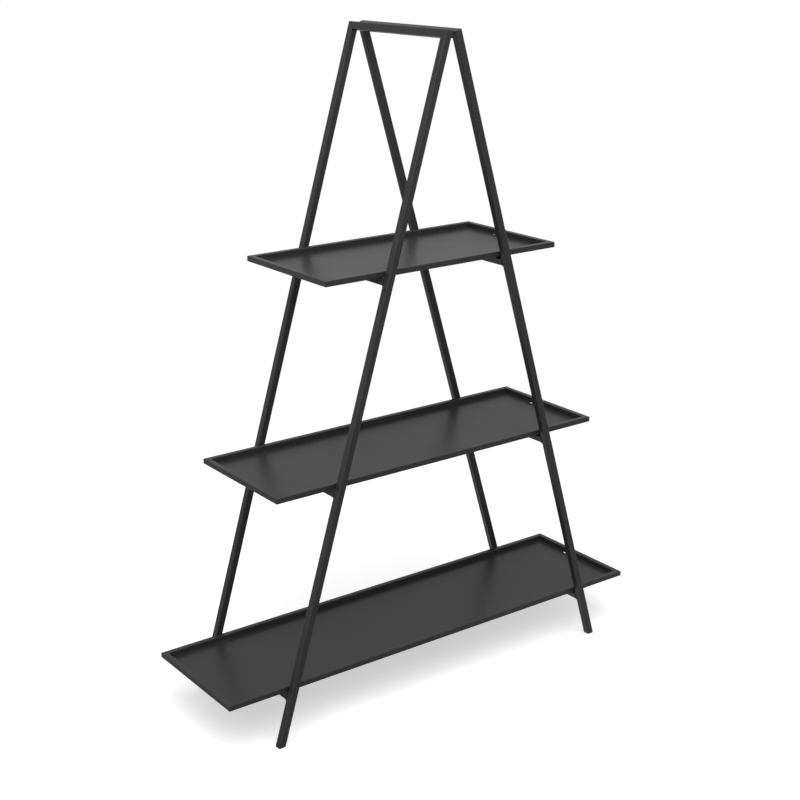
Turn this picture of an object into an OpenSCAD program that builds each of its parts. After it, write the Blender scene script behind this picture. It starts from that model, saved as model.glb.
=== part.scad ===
// Plant stand: two leaning ladder frames hinged at the top, and three long shallow
// trays laid across their cross bars.
// Millimetres. +Z is up and z = 0 is the floor. X runs along the trays, with the left
// frame at -X. The front faces -Y. The stand is centred on x = 0 and y = 0.

/* [Frames] */
// Overall height, from the floor to the highest edge of the top bars
stand_height = 1428; // [1300:2:1600]
// Outside depth of a frame, from front leg to rear leg
frame_depth = 330; // [260:5:420]
// Lean of each frame from the vertical, in degrees
splay_angle = 16.7; // [14:0.1:19]
// Outside size of the square tube
tube_size = 16; // [14:0.5:20]
// Wall of the square tube
tube_wall = 1.2; // [1:0.1:1.6]
// Outside corner radius of the square tube
tube_corner_radius = 2; // [1.8:0.1:3]
// Slot between the nearest edges of the two top bars
top_slot = 6.2; // [4.8:0.1:8]

/* [Shelves] */
// Height of the lowest tray's underside
lowest_shelf_height = 114; // [90:1:140]
// Step from one tray to the next
shelf_spacing = 422; // [380:1:440]

/* [Trays] */
// Length of tray beyond the legs at each end
tray_overhang = 137; // [80:1:180]
// Room between a tray and each leg beside it
tray_side_clearance = 3.5; // [2:0.5:6]
// Width of the rim seen from above
rim_width = 12; // [8:0.5:18]
// Height of the rim
rim_height = 12; // [8:0.5:20]
// Thickness of the sheet
sheet_thickness = 1; // [0.8:0.1:1.3]
// Outside radius of the folds
fold_radius = 1.5; // [1.5:0.1:2.5]

/* [Drain hole] */
// Length of the hole across the tray
drain_length = 9; // [7:0.5:14]
// Width of the hole along the tray
drain_width = 4.5; // [4:0.5:6]
// Floor between the right rim and the hole
drain_margin = 2; // [2:0.5:10]
// Distance from the tray's middle line to the hole's centre, toward the rear
drain_offset = 36; // [0:1:60]

/* [Locating tabs] */
// Width of a tab under the tray
tab_width = 20; // [12:1:30]
// Length of the flat foot that is welded to the tray
tab_foot = 12; // [8:1:20]
// Drop of a tab beside the cross bar
tab_drop = 8; // [5:0.5:12]
// Thickness of a tab
tab_thickness = 1.5; // [1:0.1:2]
// Distance from the tray's long edge to a tab's centre
tab_inset = 50; // [40:1:60]

/* [Top hinges] */
// Length of a hinge
hinge_length = 50; // [40:1:60]
// Distance from the frame's side to the near end of a hinge
hinge_inset = 40; // [30:1:60]
// Thickness of a hinge leaf
leaf_thickness = 1.2; // [1:0.1:1.3]
// Width of a hinge leaf, from the hinge axis to its far edge
leaf_width = 11; // [8:0.5:12]
// Depth of the hinge axis below the nearest edges of the top bars
axis_drop = 1; // [0.8:0.1:1.5]

/* [Foot plugs] */
// Thickness of the sole under the leg
sole_thickness = 2; // [1:0.5:4]
// Height of the stem inside the leg
stem_height = 14; // [8:1:24]

/* [Hidden] */

// Segments of the round shapes
round_steps = 48;
// How far a cutting shape reaches past the shape it cuts
overcut = 1;

// Sides of the stand along x
left = -1;
right = 1;
// Sides of the stand along y
front = -1;
rear = 1;
// Shelves counted from the floor
lower = 0;
middle = 1;
upper = 2;

// Gap between a tray and the cross bars that carry it
seat_gap = 0.3;
// Gap between a tab and the cross bar beside it
tab_gap = 0.4;
// Gap between a plug's stem and the inside of its leg
stem_gap = 0.1;
// Gap around a pin in its knuckles
pin_gap = 0.05;
// Gap between neighbouring knuckles
knuckle_gap = 0.3;
// Gap between a knuckle and the plane of the frames' inner faces
barrel_gap = 0.35;
// Knuckles on a hinge; the first, third and fifth are the left leaf's
knuckle_count = 5;
// Length of pin that stands out at each end of the barrel
pin_end = 0.5;

// How much lower the highest point of a leaning tube is than its sharp corner would be
corner_loss = tube_corner_radius * (sin(splay_angle) + cos(splay_angle) - 1);
// Height of the top bars' highest edge before it is rounded
sharp_height = stand_height + corner_loss;
// Height of the hinge axis
axis_height = sharp_height - tube_size * sin(splay_angle) - axis_drop;

// The next values are measured in the leaning frame, whose origin is the hinge axis.
// Distance from the hinge axis to a frame's inner face
inner_face = top_slot / 2 * cos(splay_angle) + axis_drop * sin(splay_angle);
// Distance from the hinge axis to a frame's outer face
outer_face = inner_face + tube_size;
// Distance from the hinge axis to the middle of a frame's tubes
tube_middle = inner_face + tube_size / 2;
// Top of the frame above the hinge axis
frame_top = axis_drop * cos(splay_angle) - top_slot / 2 * sin(splay_angle);
// Length of leg tube before it is cut level at the floor
leg_length = (axis_height + 2 * tube_size) / cos(splay_angle) + tube_size;
// Distance from the frame's middle line to the middle of a leg
leg_middle = frame_depth / 2 - tube_size / 2;
// Length of a cross bar between the legs
bar_span = frame_depth - 2 * tube_size;

barrel_radius = inner_face - barrel_gap;
pin_radius = barrel_radius / 2;
knuckle_pitch = hinge_length / knuckle_count;

tray_depth = frame_depth - 2 * tube_size - 2 * tray_side_clearance;

paint_color = "#2b2b2c";
plug_color = "#161616";

// Height of a tray's underside
function shelf_height(shelf) = lowest_shelf_height + shelf * shelf_spacing;

// Distance from the stand's middle to the legs' outer faces at the height z
function spread(z) =
    top_slot / 2 + tube_size * cos(splay_angle) + (sharp_height - z) * tan(splay_angle);

// Length of a tray, which follows the spread of the legs to the nearest whole size
function tray_length(shelf) = 2 * round(spread(shelf_height(shelf)) + tray_overhang);

// Distance down the lean from the hinge axis to the middle of a cross bar, set so
// that the bar's highest point stays just under the tray
function bar_drop(shelf) =
    (axis_height - shelf_height(shelf) + seat_gap - corner_loss) / cos(splay_angle)
    + outer_face * tan(splay_angle) + tube_size / 2;

/* Shapes shared by the frames */

// Places a child drawn in the right-hand frame's own directions: z runs up the lean,
// x points outward from the hinge axis and y runs across the frame.
module lean(side) {
    translate([0, 0, axis_height])
        mirror([side == left ? 1 : 0, 0, 0])
            rotate([0, -splay_angle, 0])
                children();
}

// Rectangle with round corners, centred
module round_rectangle(width, height, radius) {
    square([width, height - 2 * radius], center = true);
    square([width - 2 * radius, height], center = true);
    for (x = [-1, 1])
        for (y = [-1, 1])
            translate([x * (width / 2 - radius), y * (height / 2 - radius)])
                circle(r = radius, $fn = round_steps);
}

// Section of the hollow square tube
module tube_section() {
    inner_size = tube_size - 2 * tube_wall;
    difference() {
        round_rectangle(tube_size, tube_size, tube_corner_radius);
        round_rectangle(inner_size, inner_size, tube_corner_radius - tube_wall);
    }
}

// Everything on the +z side of a plane turned about the x axis
module beyond_plane(turn) {
    size = 4 * tube_size;
    rotate([turn, 0, 0])
        translate([-size / 2, -size / 2, 0])
            cube(size);
}

// Slab across the whole stand between two heights
module slab(from, to) {
    translate([-stand_height, -frame_depth, from])
        cube([2 * stand_height, 2 * frame_depth, to - from]);
}

/* Frame parts */

// Leg: mitred where it meets the top bar, cut level just above the floor
module leg(side, place) {
    color(paint_color)
        difference() {
            lean(side)
                difference() {
                    translate([tube_middle, place * leg_middle, frame_top])
                        rotate([180, 0, 0])
                            linear_extrude(leg_length)
                                tube_section();
                    translate([tube_middle, place * frame_depth / 2, frame_top])
                        beyond_plane(place * 45);
                }
            slab(-stand_height, sole_thickness);
        }
}

// Top bar: mitred at both ends
module top_bar(side) {
    color(paint_color)
        lean(side)
            difference() {
                translate([tube_middle, frame_depth / 2, frame_top - tube_size / 2])
                    rotate([90, 0, 0])
                        linear_extrude(frame_depth)
                            tube_section();
                for (place = [front, rear])
                    translate([tube_middle, place * frame_depth / 2, frame_top])
                        beyond_plane(place * 45 + 180);
            }
}

// Cross bar: butts against the inner sides of both legs
module cross_bar(side, shelf) {
    color(paint_color)
        lean(side)
            translate([tube_middle, bar_span / 2, -bar_drop(shelf)])
                rotate([90, 0, 0])
                    linear_extrude(bar_span)
                        tube_section();
}

// Leaning bar of a foot plug, wide as the leg for the sole and narrow for the stem
module plug_bar(side, place, size, radius, from, to) {
    intersection() {
        lean(side)
            translate([tube_middle, place * leg_middle, frame_top])
                rotate([180, 0, 0])
                    linear_extrude(leg_length)
                        round_rectangle(size, size, radius);
        slab(from, to);
    }
}

// Foot plug: a sole under the leg and a stem inside it
module foot_plug(side, place) {
    stem_size = tube_size - 2 * tube_wall - 2 * stem_gap;
    color(plug_color) {
        plug_bar(side, place, tube_size, tube_corner_radius, 0, sole_thickness);
        plug_bar(side, place, stem_size, tube_corner_radius - tube_wall,
            sole_thickness / 2, sole_thickness + stem_height);
    }
}

/* Top hinges */

// Distance from the stand's middle line to the middle of a hinge
hinge_middle = frame_depth / 2 - hinge_inset - hinge_length / 2;

// Start of a knuckle, measured from the hinge's front end
function knuckle_start(index) = index * knuckle_pitch + (index > 0 ? knuckle_gap / 2 : 0);

// Length of a knuckle; the outer ones have a gap on one side only
function knuckle_length(index) =
    knuckle_pitch - (index > 0 ? knuckle_gap / 2 : 0)
    - (index < knuckle_count - 1 ? knuckle_gap / 2 : 0);

// Round bar along +y from the hinge's front end
module axis_rod(radius, length) {
    rotate([-90, 0, 0])
        cylinder(h = length, r = radius, $fn = round_steps);
}

// Leaf: a plate on the frame's inner face with its knuckles rolled round the axis
module hinge_leaf(side, place) {
    plate_top = barrel_radius + knuckle_gap;
    first_knuckle = side == left ? 0 : 1;
    color(paint_color)
        lean(side)
            translate([0, place * hinge_middle - hinge_length / 2, 0])
                difference() {
                    union() {
                        translate([inner_face - leaf_thickness, 0, -leaf_width])
                            cube([leaf_thickness, hinge_length, leaf_width - plate_top]);
                        for (index = [first_knuckle : 2 : knuckle_count - 1])
                            translate([0, knuckle_start(index), 0]) {
                                translate([inner_face - leaf_thickness, 0, -leaf_width])
                                    cube([leaf_thickness, knuckle_length(index), leaf_width]);
                                axis_rod(barrel_radius, knuckle_length(index));
                            }
                    }
                    translate([0, -overcut, 0])
                        axis_rod(pin_radius + pin_gap, hinge_length + 2 * overcut);
                }
}

// Pin through all the knuckles of a hinge
module hinge_pin(place) {
    color(paint_color)
        translate([0, place * hinge_middle - hinge_length / 2 - pin_end, axis_height])
            axis_rod(pin_radius, hinge_length + 2 * pin_end);
}

/* Trays */

// Block over the whole tray whose cross-section is the same lengthwise and crosswise.
// The children draw the section, $across wide, with y as the height.
module crossed(length, depth) {
    intersection() {
        rotate([90, 0, 90])
            linear_extrude(length + 2 * overcut, center = true) {
                $across = depth;
                children();
            }
        rotate([90, 0, 0])
            linear_extrude(depth + 2 * overcut, center = true) {
                $across = length;
                children();
            }
    }
}

// Section of the tray as if it were solid
module outer_section() {
    translate([0, rim_height / 2])
        round_rectangle($across, rim_height, fold_radius);
}

// Section inside the sheet, as wide as the tray's outer walls allow
module hollow_section() {
    translate([0, rim_height / 2])
        round_rectangle(
            $across - 2 * sheet_thickness,
            rim_height - 2 * sheet_thickness,
            fold_radius - sheet_thickness
        );
}

// Section of the open tray between the rims, with the rims' rounded upper edges
module open_section() {
    half = $across / 2 - rim_width;
    translate([-half, sheet_thickness])
        square([2 * half, rim_height - sheet_thickness + overcut]);
    for (flip = [0, 1])
        mirror([flip, 0])
            difference() {
                translate([half - overcut, rim_height - fold_radius])
                    square([fold_radius + overcut, fold_radius + overcut]);
                translate([half + fold_radius, rim_height - fold_radius])
                    circle(r = fold_radius, $fn = round_steps);
            }
}

// Block that ends where the hollow of the rim meets its lip
module rim_core(length, depth) {
    lip_face = rim_width - sheet_thickness;
    translate([lip_face - length / 2, lip_face - depth / 2, 0])
        cube([length - 2 * lip_face, depth - 2 * lip_face, rim_height]);
}

// Drain hole through the floor: a slot with round ends, across the tray
module drain_hole(length) {
    straight = drain_length - drain_width;
    translate([
        length / 2 - rim_width - drain_margin - drain_width / 2,
        drain_offset,
        -overcut
    ])
        linear_extrude(sheet_thickness + 2 * overcut) {
            square([drain_width, straight], center = true);
            for (end = [-1, 1])
                translate([0, end * straight / 2])
                    circle(d = drain_width, $fn = round_steps);
        }
}

// Tray: one folded sheet. It has a flat floor, then goes up, in and down again to make
// a hollow rim all round, and ends in a lip that meets the floor.
module tray(shelf) {
    length = tray_length(shelf);
    color(paint_color)
        translate([0, 0, shelf_height(shelf)])
            difference() {
                crossed(length, tray_depth)
                    outer_section();
                difference() {
                    crossed(length, tray_depth)
                        hollow_section();
                    rim_core(length, tray_depth);
                }
                crossed(length, tray_depth)
                    open_section();
                drain_hole(length);
            }
}

// Tab under the right-hand end of a tray: a flat foot on the tray's underside and a
// drop that lies along the outer face of the cross bar
module locating_tab(shelf) {
    near = spread(shelf_height(shelf)) + tab_gap / cos(splay_angle);
    slant = tan(splay_angle);
    thick = tab_thickness / cos(splay_angle);
    rotate([90, 0, 0])
        linear_extrude(tab_width, center = true)
            polygon([
                [near, 0],
                [near + tab_drop * slant, -tab_drop],
                [near + tab_drop * slant + thick, -tab_drop],
                [near + tab_thickness * slant + thick, -tab_thickness],
                [near + tab_foot, -tab_thickness],
                [near + tab_foot, 0]
            ]);
}

// The four tabs of a tray, which keep it in place and stop the frames from spreading
module locating_tabs(shelf) {
    color(paint_color)
        translate([0, 0, shelf_height(shelf)])
            for (side = [left, right])
                mirror([side == left ? 1 : 0, 0, 0])
                    for (place = [front, rear])
                        translate([0, place * (tray_depth / 2 - tab_inset), 0])
                            locating_tab(shelf);
}

leg(left, front);  // left_front_leg
leg(left, rear);  // left_rear_leg
top_bar(left);  // left_top_bar
cross_bar(left, upper);  // left_upper_cross_bar
cross_bar(left, middle);  // left_middle_cross_bar
cross_bar(left, lower);  // left_lower_cross_bar
foot_plug(left, front);  // left_front_foot_plug
foot_plug(left, rear);  // left_rear_foot_plug
leg(right, front);  // right_front_leg
leg(right, rear);  // right_rear_leg
top_bar(right);  // right_top_bar
cross_bar(right, upper);  // right_upper_cross_bar
cross_bar(right, middle);  // right_middle_cross_bar
cross_bar(right, lower);  // right_lower_cross_bar
foot_plug(right, front);  // right_front_foot_plug
foot_plug(right, rear);  // right_rear_foot_plug
hinge_leaf(left, front);  // front_hinge_left_leaf
hinge_leaf(right, front);  // front_hinge_right_leaf
hinge_pin(front);  // front_hinge_pin
hinge_leaf(left, rear);  // rear_hinge_left_leaf
hinge_leaf(right, rear);  // rear_hinge_right_leaf
hinge_pin(rear);  // rear_hinge_pin
tray(upper);  // top_tray
tray(middle);  // middle_tray
tray(lower);  // bottom_tray
locating_tabs(upper);  // top_tray_locating_tabs
locating_tabs(middle);  // middle_tray_locating_tabs
locating_tabs(lower);  // bottom_tray_locating_tabs
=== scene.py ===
"""Looks of the plant stand: painted steel, plastic foot plugs, weld beads and a pale studio.

Metres. +Z is up, z = 0 is the floor, X runs along the trays and the front faces -Y.
"""

import math

import bmesh
import bpy
from mathutils import Matrix, Vector, noise


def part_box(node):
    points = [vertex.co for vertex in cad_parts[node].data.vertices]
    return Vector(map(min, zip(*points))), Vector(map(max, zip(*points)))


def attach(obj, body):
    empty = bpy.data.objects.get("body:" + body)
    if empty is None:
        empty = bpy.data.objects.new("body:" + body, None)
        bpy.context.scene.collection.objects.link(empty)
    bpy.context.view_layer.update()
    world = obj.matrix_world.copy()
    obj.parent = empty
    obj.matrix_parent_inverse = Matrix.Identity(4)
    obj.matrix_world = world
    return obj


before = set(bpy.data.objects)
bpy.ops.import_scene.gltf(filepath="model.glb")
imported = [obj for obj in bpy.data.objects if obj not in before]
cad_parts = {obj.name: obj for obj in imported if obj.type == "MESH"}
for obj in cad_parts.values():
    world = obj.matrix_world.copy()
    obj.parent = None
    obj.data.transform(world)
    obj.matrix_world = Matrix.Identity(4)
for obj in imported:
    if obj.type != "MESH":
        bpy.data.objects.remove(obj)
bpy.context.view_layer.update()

# Sizes that repeat those of the solids
TUBE = 0.016
TUBE_CORNER = 0.002
FRAME_DEPTH = 0.330
SPLAY = math.radians(16.7)
TOP_SLOT = 0.0062
AXIS_DROP = 0.001
STAND_HEIGHT = 1.428
SEAT_GAP = 0.0003
RIM_WIDTH = 0.012
SHEET = 0.001
SHELF_HEIGHTS = {"top": 0.958, "middle": 0.536, "bottom": 0.114}

# Places in a frame that are worked out from those sizes
CORNER_LOSS = TUBE_CORNER * (math.sin(SPLAY) + math.cos(SPLAY) - 1)
AXIS_HEIGHT = STAND_HEIGHT + CORNER_LOSS - TUBE * math.sin(SPLAY) - AXIS_DROP
INNER_FACE = TOP_SLOT / 2 * math.cos(SPLAY) + AXIS_DROP * math.sin(SPLAY)
TUBE_MIDDLE = INNER_FACE + TUBE / 2
FRAME_TOP = AXIS_DROP * math.cos(SPLAY) - TOP_SLOT / 2 * math.sin(SPLAY)
BAR_HALF = FRAME_DEPTH / 2 - TUBE

# Sides of the stand along x, and of a frame along y
LEFT, RIGHT = -1, 1
FRONT, REAR = -1, 1
SIDE_NAMES = {LEFT: "left", RIGHT: "right"}

# Weld beads: how far they spread on each part, how deep they root, and the pitch of their
# ripples. Their toe and their swell are shares of the spread.
WELD_LEG = 0.0018
WELD_ROOT = 0.0003
WELD_PITCH = 0.0011
WELD_TOE = 0.15
WELD_SWELL = 0.12

# How finely a bead is cut: across its section, round a bar's corner and along a bar's side
WELD_STEPS = 4
CORNER_STEPS = 4
SIDE_CUTS = 15

# Paint: its colours in linear light, its roughness where it is smoothest and its mirror level
FRAME_COLOR = (0.0275, 0.0275, 0.0285)
TRAY_COLOR = (0.0280, 0.0280, 0.0276)
# Edges are lighter partly for coat worn thin and partly as a painted highlight along them
EDGE_WEAR_AND_HIGHLIGHT_COLOR = (0.060, 0.060, 0.061)
SEAM_COLOR = (0.008, 0.008, 0.008)
FRAME_ROUGH = 0.30
TRAY_ROUGH = 0.27
PAINT_MIRROR = 0.30

# Powder coat: sizes of its soft patches, orange peel, specks and grain, and its relief
PATCH_SIZE = 0.12
PEEL_SIZE = 0.006
SPECK_SIZE = 0.004
GRAIN_SIZE = 0.0012
PEEL_DEPTH = 0.00006
SEAM_DEPTH = 0.0003
RIPPLE_DEPTH = 0.00012

# How far in from a tray's rim edges the lighter paint, for worn coat and a painted highlight, starts
# to fade and has gone
EDGE_START = 0.0002
EDGE_END = 0.0011

# Mitre lines of a rim: how far off they start to fade and have gone, and how far short of the
# rim's inner edge they begin to stop
MITRE_LINE = 0.00012
MITRE_FADE = 0.0004
MITRE_STOP = 0.0005

# Foot plugs and hinges: their colours and the paler ones of their scuffs and rubbed spots
PLUG_COLOR = (0.016, 0.016, 0.017)
SCUFF_COLOR = (0.040, 0.039, 0.038)
HINGE_COLOR = (0.034, 0.034, 0.036)
RUBBED_COLOR = (0.30, 0.30, 0.31)
PLASTIC_MIRROR = 0.4
STEEL_MIRROR = 0.4

# Key lamp: a soft box that is aimed at the stand's middle
KEY_POWER = 116
KEY_SIZE = 3.8
KEY_PLACE = (-0.9, -1.5, 3.4)
STAND_MIDDLE = (0, 0, 0.6)

# Sky's light on the stand, the floor's matt grey and glow near the stand as the camera sees
# them, and the matt grey that throws light back at the stand
SKY_LIGHT = 0.36
FLOOR_SHADED = 0.88
FLOOR_GLOW = 0.515
FLOOR_BOUNCE = 0.60

# Floor: the ring in which its shade fades to white, and its half width
FLOOR_NEAR = 1.1
FLOOR_FAR = 2.2
FLOOR_REACH = 12.0

# How bright the studio looks in gloss: the floor behind the stand, beside it and on the
# camera's side, then the sky at the horizon and overhead
GLOSS_BEHIND = 0.66
GLOSS_BESIDE = 0.38
GLOSS_CAMERA_SIDE = 0.26
GLOSS_HORIZON = 0.80
GLOSS_OVERHEAD = 0.55

# Where those levels change on the floor, in metres along and across the view and away from
# the stand's middle, and up the sky, as the sine of the height angle
BEHIND_FADE = (-0.5, 0.5)
BESIDE_FADE = (-1.5, -0.9)
BESIDE_REACH = (2.6, 3.4)
HORIZON_FADE = (0.05, 0.2)

# Camera, as fitted to the edges of the legs and trays in the photo
SENSOR_WIDTH = 36.0
CAMERA_PLACE = (-1.84881, -2.46434, 1.64014)
CAMERA_HEADING = math.radians(35.103)
CAMERA_TILT = math.radians(-19.244)
CAMERA_ROLL = math.radians(-0.630)
CAMERA_LENS = 66.583
CAMERA_SHIFT = (0.04987, 0.03734)


# Shader maths

class Wire:
    """An output of a shader node. Maths on it adds Math nodes to its tree."""

    def __init__(self, paint, socket):
        self.paint = paint
        self.socket = socket

    def maths(self, operation, *values):
        node = self.paint.node("ShaderNodeMath", {"operation": operation}, list(values))
        return node["Value"]

    def __add__(self, other):
        return self.maths("ADD", self, other)

    def __radd__(self, other):
        return self.maths("ADD", other, self)

    def __sub__(self, other):
        return self.maths("SUBTRACT", self, other)

    def __rsub__(self, other):
        return self.maths("SUBTRACT", other, self)

    def __mul__(self, other):
        return self.maths("MULTIPLY", self, other)

    def __rmul__(self, other):
        return self.maths("MULTIPLY", other, self)

    def __abs__(self):
        return self.maths("ABSOLUTE", self)

    def root(self):
        return self.maths("SQRT", self)

    def sine(self):
        return self.maths("SINE", self)


def larger(first, second):
    """The larger of two wires."""
    return first.maths("MAXIMUM", first, second)


def smaller(first, second):
    """The smaller of two wires."""
    return first.maths("MINIMUM", first, second)


class Outputs:
    """A node, whose outputs are read by name as wires."""

    def __init__(self, paint, node):
        self.paint = paint
        self.node = node

    def __getitem__(self, name):
        return Wire(self.paint, self.node.outputs[name])


class Paint:
    """The node tree of a material or of the world."""

    def __init__(self, owner):
        self.owner = owner
        owner.use_nodes = True
        self.tree = owner.node_tree
        self.tree.nodes.clear()

    def node(self, kind, settings=None, values=None):
        """Adds a node. The settings are set first, then its sockets, by name or in order."""
        node = self.tree.nodes.new(kind)
        for key, value in (settings or {}).items():
            setattr(node, key, value)
        if isinstance(values, list):
            values = dict(enumerate(values))
        for key, value in (values or {}).items():
            socket = node.inputs[key]
            if isinstance(value, Wire):
                self.tree.links.new(value.socket, socket)
            else:
                socket.default_value = value
        return Outputs(self, node)

    def position(self):
        """The point on the surface, in the object's own coordinates."""
        return self.node("ShaderNodeTexCoord")["Object"]

    def noise(self, where, size, detail, roughness=0.5):
        """Noise from 0 to 1 whose features are about the given size, in metres."""
        return self.node("ShaderNodeTexNoise", {}, {
            "Vector": where, "Scale": 1 / size, "Detail": detail, "Roughness": roughness,
        })["Fac"]

    def blend(self, mask, first, second):
        """Colour that goes from the first to the second with the mask."""
        mix = self.node("ShaderNodeMix", {"data_type": "RGBA"}, {0: mask, 6: first, 7: second})
        return mix[2]

    def step(self, value, low, high):
        """0 below the low value, 1 above the high one and smooth between."""
        return self.node("ShaderNodeMapRange", {"interpolation_type": "SMOOTHSTEP"}, {
            "Value": value, "From Min": low, "From Max": high, "To Min": 0.0, "To Max": 1.0,
        })["Result"]

    def axes(self, vector):
        """The three numbers of a vector."""
        parts = self.node("ShaderNodeSeparateXYZ", {}, {"Vector": vector})
        return parts["X"], parts["Y"], parts["Z"]

    def bump(self, height, distance, below=None):
        """Normal of a height map that rises by the distance, in metres."""
        values = {"Height": height, "Distance": distance}
        if below is not None:
            values["Normal"] = below
        return self.node("ShaderNodeBump", {}, values)["Normal"]

    def mix(self, share, first, second):
        """Shader that goes from the first to the second with the share."""
        return self.node("ShaderNodeMixShader", {}, [share, first, second])["Shader"]

    def glow(self, level):
        """White light of that level, given off by the surface."""
        values = {"Color": grey(1), "Strength": level}
        return self.node("ShaderNodeEmission", {}, values)["Emission"]

    def matt(self, level):
        """Plain matt grey."""
        return self.node("ShaderNodeBsdfDiffuse", {}, {"Color": grey(level)})["BSDF"]

    def backdrop(self, level):
        """World light of that level."""
        values = {"Color": grey(1), "Strength": level}
        return self.node("ShaderNodeBackground", {}, values)["Background"]

    def rays(self):
        """Masks of what is seen in gloss, and of what the camera sees at once or in gloss."""
        path = self.node("ShaderNodeLightPath")
        mirrored = larger(path["Is Glossy Ray"], path["Is Transmission Ray"])
        return mirrored, larger(path["Is Camera Ray"], mirrored)

    def finish(self, shader, output="ShaderNodeOutputMaterial"):
        """Ends the tree with the given shader."""
        self.node(output, {}, {"Surface": shader})
        return self.owner


def new_paint(name):
    """An empty material."""
    return Paint(bpy.data.materials.new(name))


def opaque(color, factor=1.0):
    """A colour in linear light, made brighter by the factor, with full alpha."""
    return [part * factor for part in color] + [1.0]


def grey(level):
    """Neutral colour, in linear light."""
    return opaque((level, level, level))


# Masks of edges and seams

def lean_axes(paint, where, side):
    """The surface point in a frame's own directions: outward, across and up the lean."""
    x, y, z = paint.axes(where)
    outward = x * side * math.cos(SPLAY) + (z - AXIS_HEIGHT) * math.sin(SPLAY)
    upward = (z - AXIS_HEIGHT) * math.cos(SPLAY) - x * side * math.sin(SPLAY)
    return outward, y, upward


def corner_mask(paint, first, second):
    """1 where both distances from a tube's middle are near its half width."""
    near = TUBE / 2 - TUBE_CORNER * 0.75
    full = TUBE / 2 - TUBE_CORNER * 0.25
    return paint.step(abs(first), near, full) * paint.step(abs(second), near, full)


def leg_edges(side):
    """Mask of the four long corners of a leg."""
    def mask(paint, where):
        outward, across, _ = lean_axes(paint, where, side)
        return corner_mask(paint, outward - TUBE_MIDDLE, abs(across) - (FRAME_DEPTH - TUBE) / 2)
    return mask


def bar_edges(side, middle):
    """Mask of the four long corners of a bar whose middle is that far up the lean."""
    def mask(paint, where):
        outward, _, upward = lean_axes(paint, where, side)
        return corner_mask(paint, outward - TUBE_MIDDLE, upward - middle)
    return mask


def bar_middle(shelf):
    """Height of a cross bar's middle in the leaning frame."""
    outer_face = INNER_FACE + TUBE
    drop = (AXIS_HEIGHT - SHELF_HEIGHTS[shelf] + SEAT_GAP - CORNER_LOSS) / math.cos(SPLAY)
    return -(drop + outer_face * math.tan(SPLAY) + TUBE / 2)


def tray_masks(node):
    """Masks of a tray's rim edges and of the mitre lines at its corners."""
    low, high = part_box(node)
    half_length = (high[0] - low[0]) / 2
    half_depth = (high[1] - low[1]) / 2
    top = high[2]

    def insets(paint, where):
        x, y, z = paint.axes(where)
        return half_length - abs(x), half_depth - abs(y), top - z

    def edge(paint, where):
        from_end, from_side, down = insets(paint, where)
        inset = smaller(from_end, from_side)
        outer = 1 - paint.step(inset, EDGE_START, EDGE_END)
        inner = paint.step(inset, RIM_WIDTH - EDGE_END, RIM_WIDTH - EDGE_START)
        upper = 1 - paint.step(down, EDGE_START, EDGE_END)
        return larger(outer, inner) * upper

    def seam(paint, where):
        from_end, from_side, down = insets(paint, where)
        inset = smaller(from_end, from_side)
        line = 1 - paint.step(abs(from_end - from_side), MITRE_LINE, MITRE_FADE)
        on_rim = 1 - paint.step(inset, RIM_WIDTH - MITRE_STOP, RIM_WIDTH)
        return line * on_rim * (1 - paint.step(down, SHEET, SHEET * 1.5))

    return edge, seam


def weld_ripples(paint, where, side):
    """Height of the ripples that a weld leaves, square to the run of the bead."""
    outward, _, upward = lean_axes(paint, where, side)
    turn = (outward + upward) * (math.tau / WELD_PITCH)
    return turn.sine() * 0.5 + 0.5


# Finishes

def powder_coat(name, base, rough, edge=None, seam=None, ripples=None):
    """Satin powder coat: fine orange peel, soft patches, and edges lighter for worn coat and as a
    painted highlight.

    edge is a function that gives 1 on the piece's corners, and seam one that gives 1 on its
    mitre lines. rough is the roughness where the coat is smoothest. ripples is the side of
    the frame whose weld beads get their ripples.
    """
    paint = new_paint(name)
    where = paint.position()
    patches = paint.noise(where, PATCH_SIZE, 2.0)
    grain = paint.noise(where, GRAIN_SIZE, 2.0, 0.6)
    specks = paint.step(paint.noise(where, SPECK_SIZE, 1.0), 0.68, 0.76)
    peel = paint.noise(where, PEEL_SIZE, 1.0)

    tint = paint.blend(patches * 0.5 + grain * 0.25, opaque(base), opaque(base, 1.25))
    gloss = rough + patches * 0.08 + grain * 0.05
    normal = paint.bump(peel * 0.6 + grain * 0.4, PEEL_DEPTH)
    if edge:
        # Lighter paint on the corners: coat worn thin there, and a painted highlight where light
        # catches them
        wear_and_highlight = edge(paint, where) * (0.55 + specks * 0.45)
        tint = paint.blend(wear_and_highlight, tint, opaque(EDGE_WEAR_AND_HIGHLIGHT_COLOR))
        gloss = gloss - wear_and_highlight * 0.08
    if seam:
        line = seam(paint, where)
        tint = paint.blend(line * 0.6, tint, opaque(SEAM_COLOR))
        normal = paint.bump(1 - line, SEAM_DEPTH, normal)
    if ripples:
        normal = paint.bump(weld_ripples(paint, where, ripples), RIPPLE_DEPTH, normal)
    shader = paint.node("ShaderNodeBsdfPrincipled", {}, {
        "Base Color": tint, "Roughness": gloss, "Normal": normal, "Specular IOR Level": PAINT_MIRROR,
    })["BSDF"]
    return paint.finish(shader)


def plastic(name):
    """Black moulded plastic with a fine spark-eroded grain."""
    paint = new_paint(name)
    where = paint.position()
    grain = paint.noise(where, 0.0006, 2.0)
    scuffs = paint.step(paint.noise(where, 0.005, 4.0, 0.7), 0.56, 0.72)
    tint = paint.blend(scuffs * 0.5, opaque(PLUG_COLOR), opaque(SCUFF_COLOR))
    shader = paint.node("ShaderNodeBsdfPrincipled", {}, {
        "Base Color": tint,
        "Roughness": 0.55 + grain * 0.15,
        "Normal": paint.bump(grain, 0.00005),
        "Specular IOR Level": PLASTIC_MIRROR,
    })["BSDF"]
    return paint.finish(shader)


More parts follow.
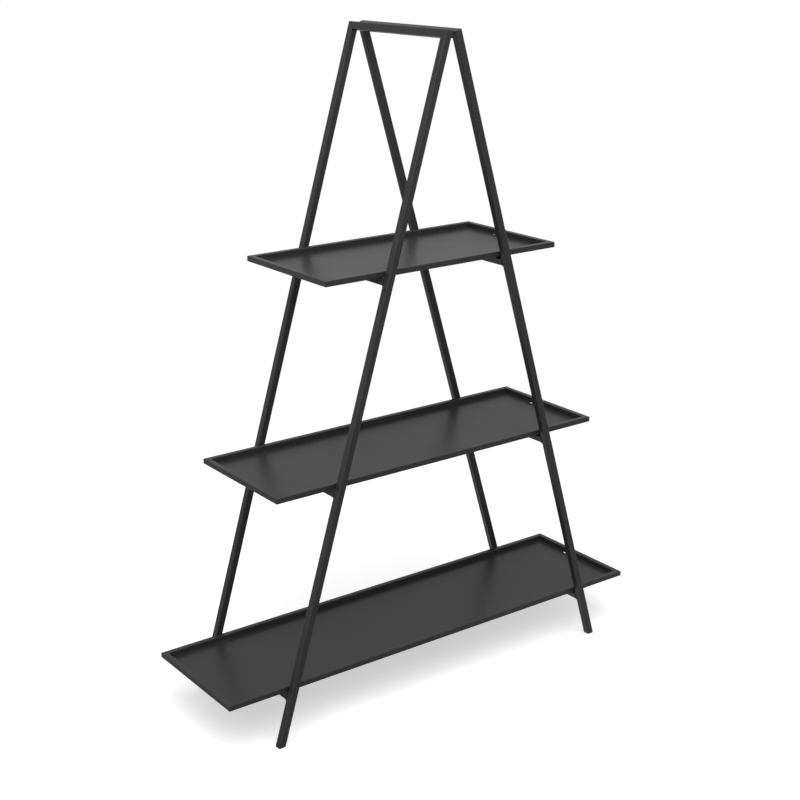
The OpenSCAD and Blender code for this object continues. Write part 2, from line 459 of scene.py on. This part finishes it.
def rubbed_steel(name):
    """Painted hinge steel, rubbed bright where its knuckles turn on each other."""
    paint = new_paint(name)
    where = paint.position()
    grain = paint.noise(where, 0.0009, 2.0)
    rub = paint.step(paint.noise(where, 0.003, 3.0, 0.6), 0.54, 0.66)
    tint = paint.blend(rub * 0.7, opaque(HINGE_COLOR), opaque(RUBBED_COLOR))
    shader = paint.node("ShaderNodeBsdfPrincipled", {}, {
        "Base Color": tint,
        "Roughness": 0.46 - rub * 0.12 + grain * 0.08,
        "Metallic": rub * 0.8,
        "Normal": paint.bump(grain, 0.00004),
        "Specular IOR Level": STEEL_MIRROR,
    })["BSDF"]
    return paint.finish(shader)


def dress(node, material):
    """Gives a node of the frame its finish."""
    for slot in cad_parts[node].material_slots:
        slot.material = material


def dress_frames():
    """Paints the tubes, the hinges and the foot plugs of both frames."""
    plug = plastic("foot_plastic")
    rubbed = rubbed_steel("hinge_steel")
    for side, name in SIDE_NAMES.items():
        legs = powder_coat(name + "_leg_paint", FRAME_COLOR, FRAME_ROUGH, leg_edges(side))
        for place in ("front", "rear"):
            dress("%s_%s_leg" % (name, place), legs)
            dress("%s_%s_foot_plug" % (name, place), plug)
            dress("%s_hinge_%s_leaf" % (place, name), rubbed)
        top = bar_edges(side, FRAME_TOP - TUBE / 2)
        dress(name + "_top_bar",
              powder_coat(name + "_top_bar_paint", FRAME_COLOR, FRAME_ROUGH, top))
        for shelf, level in (("top", "upper"), ("middle", "middle"), ("bottom", "lower")):
            bar = bar_edges(side, bar_middle(shelf))
            dress("%s_%s_cross_bar" % (name, level),
                  powder_coat("%s_%s_bar_paint" % (name, level), FRAME_COLOR, FRAME_ROUGH, bar))
    for place in ("front", "rear"):
        dress(place + "_hinge_pin", rubbed)


def dress_trays():
    """Paints the trays, with their rims' edges and mitre lines."""
    for shelf in SHELF_HEIGHTS:
        node = shelf + "_tray"
        edge, seam = tray_masks(node)
        dress(node, powder_coat(node + "_paint", TRAY_COLOR, TRAY_ROUGH, edge, seam))
        dress(node + "_locating_tabs",
              powder_coat(node + "_tab_paint", TRAY_COLOR, TRAY_ROUGH))


# Weld beads

def lean_matrix(side):
    """Takes a point in a frame's own directions to its place on the stand."""
    turn = Matrix.Rotation(-SPLAY, 4, "Y")
    flip = Matrix.Diagonal((side, 1, 1, 1))
    return Matrix.Translation((0, 0, AXIS_HEIGHT)) @ flip @ turn


def outline(bm, reach, level):
    """Adds a loop round a bar's section, that far outside it and at that height."""
    old = set(bm.edges)
    loop = bmesh.ops.create_grid(
        bm, x_segments=1, y_segments=1, size=TUBE / 2 + reach,
        matrix=Matrix.Translation((0, 0, level)),
    )
    bmesh.ops.bevel(
        bm, geom=loop["verts"], offset=TUBE_CORNER + reach, segments=CORNER_STEPS, profile=0.5,
        affect="VERTICES", material=-1,
    )
    sides = [edge for edge in bm.edges if edge not in old]
    bmesh.ops.delete(bm, geom=list(sides[0].link_faces), context="FACES_ONLY")
    straight = [edge for edge in sides if edge.calc_length() > TUBE / 2]
    bmesh.ops.subdivide_edges(bm, edges=straight, cuts=SIDE_CUTS)
    return [edge for edge in bm.edges if edge not in old]


def weld_ring(place):
    """The fillet weld round a bar's end, drawn round +z with the leg's face at z = 0."""
    bm = bmesh.new()
    loops = [outline(bm, -WELD_ROOT, -WELD_ROOT)]
    for step in range(WELD_STEPS + 1):
        turn = math.radians(90) * step / WELD_STEPS
        reach = WELD_LEG * (WELD_TOE + (1 - WELD_TOE) * math.cos(turn))
        level = WELD_LEG * (WELD_TOE + (1 - WELD_TOE) * math.sin(turn))
        loops.append(outline(bm, reach - WELD_ROOT, level - WELD_ROOT))
    for first, second in zip(loops, loops[1:] + loops[:1]):
        bmesh.ops.bridge_loops(bm, edges=first + second)
    bmesh.ops.transform(bm, matrix=place, verts=bm.verts)
    bmesh.ops.recalc_face_normals(bm, faces=bm.faces)
    bm.normal_update()
    for vertex in bm.verts:
        swell = noise.noise(vertex.co / WELD_LEG / 3) * WELD_LEG * WELD_SWELL
        vertex.co += vertex.normal * swell
    return bm


def weld_beads(side):
    """The weld beads of one frame: round both ends of its three cross bars."""
    name = SIDE_NAMES[side] + "_frame_welds"
    mesh = bpy.data.meshes.new(name)
    whole = bmesh.new()
    lean = lean_matrix(side)
    for shelf in SHELF_HEIGHTS:
        for place in (FRONT, REAR):
            spot = Matrix.Translation((TUBE_MIDDLE, place * BAR_HALF, bar_middle(shelf)))
            stand_up = Matrix.Rotation(math.radians(90) * place, 4, "X")
            ring = weld_ring(lean @ spot @ stand_up)
            ring.to_mesh(mesh)
            ring.free()
            whole.from_mesh(mesh)
    for face in whole.faces:
        face.smooth = True
    whole.to_mesh(mesh)
    whole.free()
    welds = bpy.data.objects.new(name, mesh)
    bpy.context.collection.objects.link(welds)
    welds.data.materials.append(
        powder_coat(name + "_paint", FRAME_COLOR, FRAME_ROUGH, ripples=side)
    )
    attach(welds, SIDE_NAMES[side] + "_frame")


# Studio

def across_and_along(x, y):
    """Distances to the camera's right and away from it, for a point on the floor."""
    across = x * math.cos(CAMERA_HEADING) - y * math.sin(CAMERA_HEADING)
    along = x * math.sin(CAMERA_HEADING) + y * math.cos(CAMERA_HEADING)
    return across, along


def floor_paint():
    """Pale floor: white to the camera with the stand's soft shadow, and greyer in gloss."""
    paint = new_paint("studio_floor")
    x, y, _ = paint.axes(paint.position())
    away = (x * x + y * y).root()
    across, along = across_and_along(x, y)
    behind = paint.step(along, *BEHIND_FADE)
    beside = (1 - paint.step(across, *BESIDE_FADE)) * (1 - paint.step(away, *BESIDE_REACH))
    back = paint.mix(beside, paint.glow(GLOSS_BEHIND), paint.glow(GLOSS_BESIDE))
    in_gloss = paint.mix(behind, paint.glow(GLOSS_CAMERA_SIDE), back)

    mirrored, seen = paint.rays()
    far = paint.step(away, FLOOR_NEAR, FLOOR_FAR)
    near = paint.node("ShaderNodeAddShader", {}, [paint.matt(FLOOR_SHADED), paint.glow(FLOOR_GLOW)])
    white = paint.mix(far, near["Shader"], paint.glow(1))
    shown = paint.mix(mirrored, white, in_gloss)
    return paint.finish(paint.mix(seen, paint.matt(FLOOR_BOUNCE), shown))


def studio_floor():
    """A wide flat floor under the feet."""
    bm = bmesh.new()
    bmesh.ops.create_grid(bm, x_segments=2, y_segments=2, size=FLOOR_REACH)
    mesh = bpy.data.meshes.new("studio_floor")
    bm.to_mesh(mesh)
    bm.free()
    floor = bpy.data.objects.new("studio_floor", mesh)
    bpy.context.collection.objects.link(floor)
    floor.data.materials.append(floor_paint())


def studio_sky():
    """World that lights softly from all round, shows white, and is greyer overhead in gloss."""
    world = bpy.data.worlds.new("studio")
    bpy.context.scene.world = world
    sky = Paint(world)
    _, _, height = sky.axes(sky.node("ShaderNodeTexCoord")["Generated"])
    overhead = sky.step(height, *HORIZON_FADE)
    in_gloss = sky.mix(overhead, sky.backdrop(GLOSS_HORIZON), sky.backdrop(GLOSS_OVERHEAD))
    mirrored, seen = sky.rays()
    shown = sky.mix(mirrored, sky.backdrop(1), in_gloss)
    sky.finish(sky.mix(seen, sky.backdrop(SKY_LIGHT), shown), "ShaderNodeOutputWorld")


def key_light():
    """A wide soft box above the front left of the stand."""
    data = bpy.data.lights.new("key_box", "AREA")
    data.shape = "SQUARE"
    data.size = KEY_SIZE
    data.energy = KEY_POWER
    lamp = bpy.data.objects.new("key_box", data)
    lamp.location = KEY_PLACE
    aim = Vector(STAND_MIDDLE) - Vector(KEY_PLACE)
    lamp.rotation_euler = aim.to_track_quat("-Z", "Y").to_euler()
    bpy.context.collection.objects.link(lamp)


def camera():
    """Camera at the photo's place: left of the stand, in front and above."""
    data = bpy.data.cameras.new("camera")
    data.sensor_width = SENSOR_WIDTH
    data.lens = CAMERA_LENS
    data.shift_x, data.shift_y = CAMERA_SHIFT
    turn = (Matrix.Rotation(-CAMERA_HEADING, 4, "Z")
            @ Matrix.Rotation(math.radians(90) + CAMERA_TILT, 4, "X")
            @ Matrix.Rotation(CAMERA_ROLL, 4, "Z"))
    eye = bpy.data.objects.new("camera", data)
    eye.matrix_world = Matrix.Translation(CAMERA_PLACE) @ turn
    bpy.context.collection.objects.link(eye)
    bpy.context.scene.camera = eye


dress_frames()
dress_trays()
for stand_side in (LEFT, RIGHT):
    weld_beads(stand_side)
studio_floor()
studio_sky()
key_light()
camera()
bpy.context.scene.view_settings.view_transform = "Standard"
